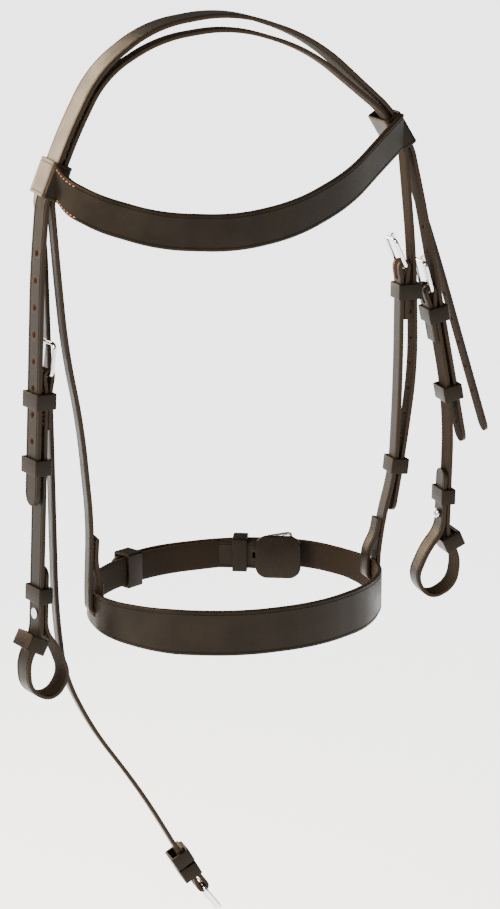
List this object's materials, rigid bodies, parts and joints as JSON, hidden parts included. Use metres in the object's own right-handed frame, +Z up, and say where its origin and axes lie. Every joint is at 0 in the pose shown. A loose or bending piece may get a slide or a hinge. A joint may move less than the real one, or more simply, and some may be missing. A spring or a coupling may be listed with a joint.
{
  "type": "cavesson bridle headstall",
  "caption": "Leather cavesson headstall with browband, two hook-stud cheekpieces, an open throatlatch and a noseband hung on its own sliphead.",
  "frame": {"origin": "under the sliphead at the poll, on the plane midway between the head's two sides", "axes": "+X to the horse's left (near) side, -Y to the front, +Z up"},
  "size_m": [0.369, 0.1835, 0.663],
  "materials": {
    "strap_leather": "smooth waxed bridle leather, very dark brown",
    "keeper_leather": "smooth waxed leather keepers, very dark brown",
    "pad_leather": "soft leather safe behind the buckle",
    "buckle_steel": "polished stainless steel wire",
    "stud_steel": "polished stainless steel, turned",
    "button_steel": "polished plated dome"
  },
  "bodies": {
    "headpiece": {"crownpiece": "strap_leather", "sliphead_strap": "strap_leather", "near_hanger_strap": "strap_leather", "near_hanger_fixed_keeper": "keeper_leather"},
    "browband": {"browband": "strap_leather", "browband_button": "button_steel"},
    "throatlatch": {"throatlatch_strap": "strap_leather", "throatlatch_fixed_keeper": "keeper_leather"},
    "throatlatch_buckle": {"throatlatch_buckle_frame": "buckle_steel"},
    "throatlatch_tongue": {"throatlatch_buckle_tongue": "buckle_steel"},
    "throatlatch_sliding_keeper": {"throatlatch_sliding_keeper": "keeper_leather"},
    "near_throatlatch_billet": {"near_throatlatch_billet": "strap_leather"},
    "noseband": {"noseband_strap": "strap_leather", "noseband_buckle_frame": "buckle_steel", "noseband_safe_pad": "pad_leather", "noseband_fixed_keeper": "keeper_leather"},
    "noseband_tongue": {"noseband_buckle_tongue": "buckle_steel"},
    "noseband_sliding_keeper": {"noseband_sliding_keeper": "keeper_leather"},
    "near_hanger_buckle": {"near_hanger_buckle_frame": "buckle_steel"},
    "near_hanger_tongue": {"near_hanger_buckle_tongue": "buckle_steel"},
    "near_hanger_sliding_keeper": {"near_hanger_sliding_keeper": "keeper_leather"},
    "off_cheek": {"off_cheek_billet": "strap_leather", "off_cheek_strap": "strap_leather", "off_cheek_fixed_keeper": "keeper_leather", "off_bit_upper_keeper": "keeper_leather", "off_bit_lower_keeper": "keeper_leather", "off_hook_stud": "stud_steel"},
    "off_cheek_buckle": {"off_cheek_buckle_frame": "buckle_steel"},
    "off_cheek_tongue": {"off_cheek_buckle_tongue": "buckle_steel"},
    "off_cheek_sliding_keeper": {"off_cheek_sliding_keeper": "keeper_leather"},
    "near_cheek": {"near_cheek_billet": "strap_leather", "near_cheek_strap": "strap_leather", "near_cheek_fixed_keeper": "keeper_leather", "near_bit_upper_keeper": "keeper_leather", "near_bit_lower_keeper": "keeper_leather", "near_hook_stud": "stud_steel"},
    "near_cheek_buckle": {"near_cheek_buckle_frame": "buckle_steel"},
    "near_cheek_tongue": {"near_cheek_buckle_tongue": "buckle_steel"},
    "near_cheek_sliding_keeper": {"near_cheek_sliding_keeper": "keeper_leather"}
  },
  "joints": [
    {"name": "browband_rock", "type": "hinge", "parent": "headpiece", "child": "browband", "pos_m": [-0.00009, 0, -0.08623], "axis": [0.9963, 0, 0.0858], "range_deg": [-2, 2]},
    {"name": "off_cheek_swing", "type": "hinge", "parent": "headpiece", "child": "off_cheek", "pos_m": [-0.133, -0.00625, -0.111], "axis": [-0.2419, 0.9703, 0], "range_deg": [0, 20]},
    {"name": "off_cheek_buckle_turn", "type": "hinge", "parent": "off_cheek", "child": "off_cheek_buckle", "pos_m": [-0.1347, -0.00667, -0.228], "axis": [0.2419, -0.9703, 0], "range_deg": [-3, 3]},
    {"name": "off_cheek_tongue_lift", "type": "hinge", "parent": "off_cheek_buckle", "child": "off_cheek_tongue", "pos_m": [-0.1347, -0.00667, -0.228], "axis": [0.2419, -0.9703, 0], "range_deg": [0, 4]},
    {"name": "off_cheek_keeper_slide", "type": "slide", "parent": "off_cheek", "child": "off_cheek_sliding_keeper", "axis": [0.0474, 0.0118, 0.9988], "range_m": [-0.02, 0.016]},
    {"name": "near_cheek_swing", "type": "hinge", "parent": "headpiece", "child": "near_cheek", "pos_m": [0.135, -0.00625, -0.088], "axis": [-0.0349, -0.9994, 0], "range_deg": [-1, 6]},
    {"name": "near_cheek_buckle_turn", "type": "hinge", "parent": "near_cheek", "child": "near_cheek_buckle", "pos_m": [0.1505, -0.00679, -0.191], "axis": [0.0349, 0.9994, 0], "range_deg": [-3, 3]},
    {"name": "near_cheek_tongue_lift", "type": "hinge", "parent": "near_cheek_buckle", "child": "near_cheek_tongue", "pos_m": [0.1505, -0.00679, -0.191], "axis": [0.0349, 0.9994, 0], "range_deg": [0, 3]},
    {"name": "near_cheek_keeper_slide", "type": "slide", "parent": "near_cheek", "child": "near_cheek_sliding_keeper", "axis": [-0.1975, 0.0069, 0.9803], "range_m": [-0.002, 0.008]},
    {"name": "throatlatch_swing", "type": "hinge", "parent": "headpiece", "child": "throatlatch", "pos_m": [-0.1324, 0.00825, -0.111], "axis": [0, 1, 0], "range_deg": [-3, 0]},
    {"name": "throatlatch_buckle_turn", "type": "hinge", "parent": "throatlatch", "child": "throatlatch_buckle", "pos_m": [-0.018, 0.00825, -0.631], "axis": [0, 1, 0], "range_deg": [-60, 60]},
    {"name": "throatlatch_tongue_lift", "type": "hinge", "parent": "throatlatch_buckle", "child": "throatlatch_tongue", "pos_m": [-0.018, 0.00825, -0.631], "axis": [0, 1, 0], "range_deg": [0, 45]},
    {"name": "throatlatch_keeper_slide", "type": "slide", "parent": "throatlatch", "child": "throatlatch_sliding_keeper", "axis": [0.4938, 0, -0.8696], "range_m": [-0.015, 0.001]},
    {"name": "near_throatlatch_billet_swing", "type": "hinge", "parent": "headpiece", "child": "near_throatlatch_billet", "pos_m": [0.135, 0.00825, -0.088], "axis": [0, -1, 0], "range_deg": [-3, 20]},
    {"name": "noseband_nod", "type": "hinge", "parent": "headpiece", "child": "noseband", "pos_m": [0.0035, -0.008, -0.401], "axis": [1, 0, 0], "range_deg": [-5, 5]},
    {"name": "noseband_tongue_lift", "type": "hinge", "parent": "noseband", "child": "noseband_tongue", "pos_m": [0.0555, 0.06576, -0.4], "axis": [0, 0, 1], "range_deg": [0, 2]},
    {"name": "noseband_keeper_slide", "type": "slide", "parent": "noseband", "child": "noseband_sliding_keeper", "axis": [0.9029, 0.4299, 0], "range_m": [-0.002, 0.002]},
    {"name": "near_hanger_buckle_turn", "type": "hinge", "parent": "headpiece", "child": "near_hanger_buckle", "pos_m": [0.13, -0.008, -0.172], "axis": [0, 1, 0], "range_deg": [-50, 15]},
    {"name": "near_hanger_tongue_lift", "type": "hinge", "parent": "near_hanger_buckle", "child": "near_hanger_tongue", "pos_m": [0.13, -0.008, -0.172], "axis": [0, 1, 0], "range_deg": [0, 8]},
    {"name": "near_hanger_keeper_slide", "type": "slide", "parent": "headpiece", "child": "near_hanger_sliding_keeper", "axis": [0.1045, 0, 0.9945], "range_m": [-0.003, 0.003]}
  ]
}
